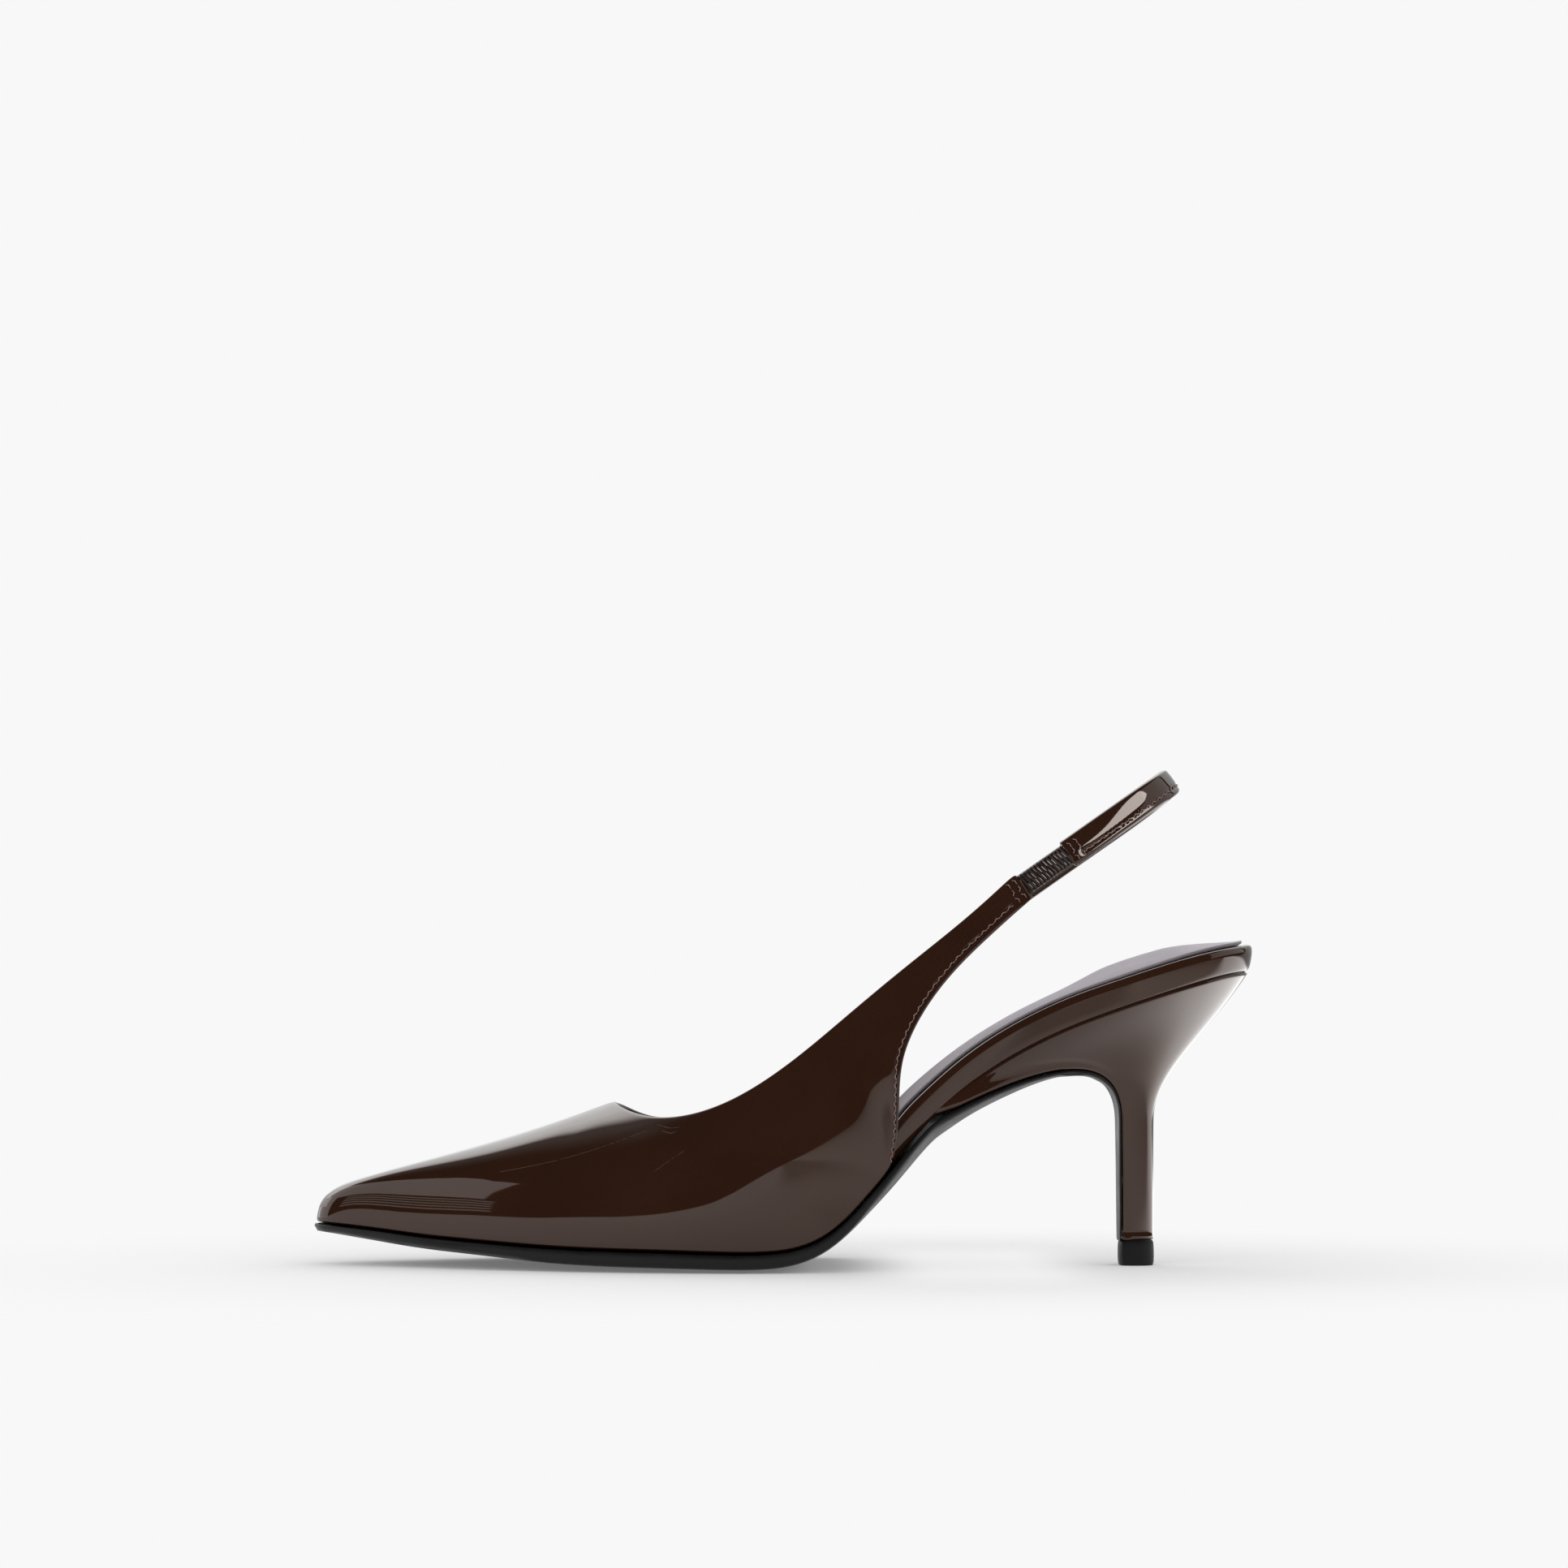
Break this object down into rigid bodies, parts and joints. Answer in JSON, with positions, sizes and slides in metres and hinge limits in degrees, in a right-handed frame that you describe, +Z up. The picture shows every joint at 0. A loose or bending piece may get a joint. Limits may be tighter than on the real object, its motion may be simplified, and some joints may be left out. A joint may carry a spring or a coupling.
{
  "type": "slingback court shoe",
  "caption": "Pointed-toe slingback court shoe for the left foot, in patent leather, with a slim flared heel, an elastic strap joint and a padded sock.",
  "frame": {"origin": "on the floor plane, under the middle of the bounding box", "axes": "+Z up from the floor, toe towards -X, heel towards +X, outer side of the foot towards -Y"},
  "size_m": [0.2305, 0.0721, 0.1214],
  "materials": {
    "sole_leather": "black satin sole",
    "rim_patent": "dark brown patent",
    "sock_leather": "taupe, fine grain, soft sheen",
    "patent_leather": "dark brown patent",
    "strap_patent": "dark brown patent",
    "elastic_weave": "ribbed woven elastic",
    "heel_patent": "dark brown patent cover",
    "tip_rubber": "matte black"
  },
  "bodies": {
    "root": {"outsole": "sole_leather", "insole_board": "rim_patent", "sock_lining": "sock_leather", "upper": "patent_leather", "back_strap": "strap_patent", "elastic_gore": "elastic_weave", "heel": "heel_patent", "top_piece": "tip_rubber"}
  },
  "joints": []
}
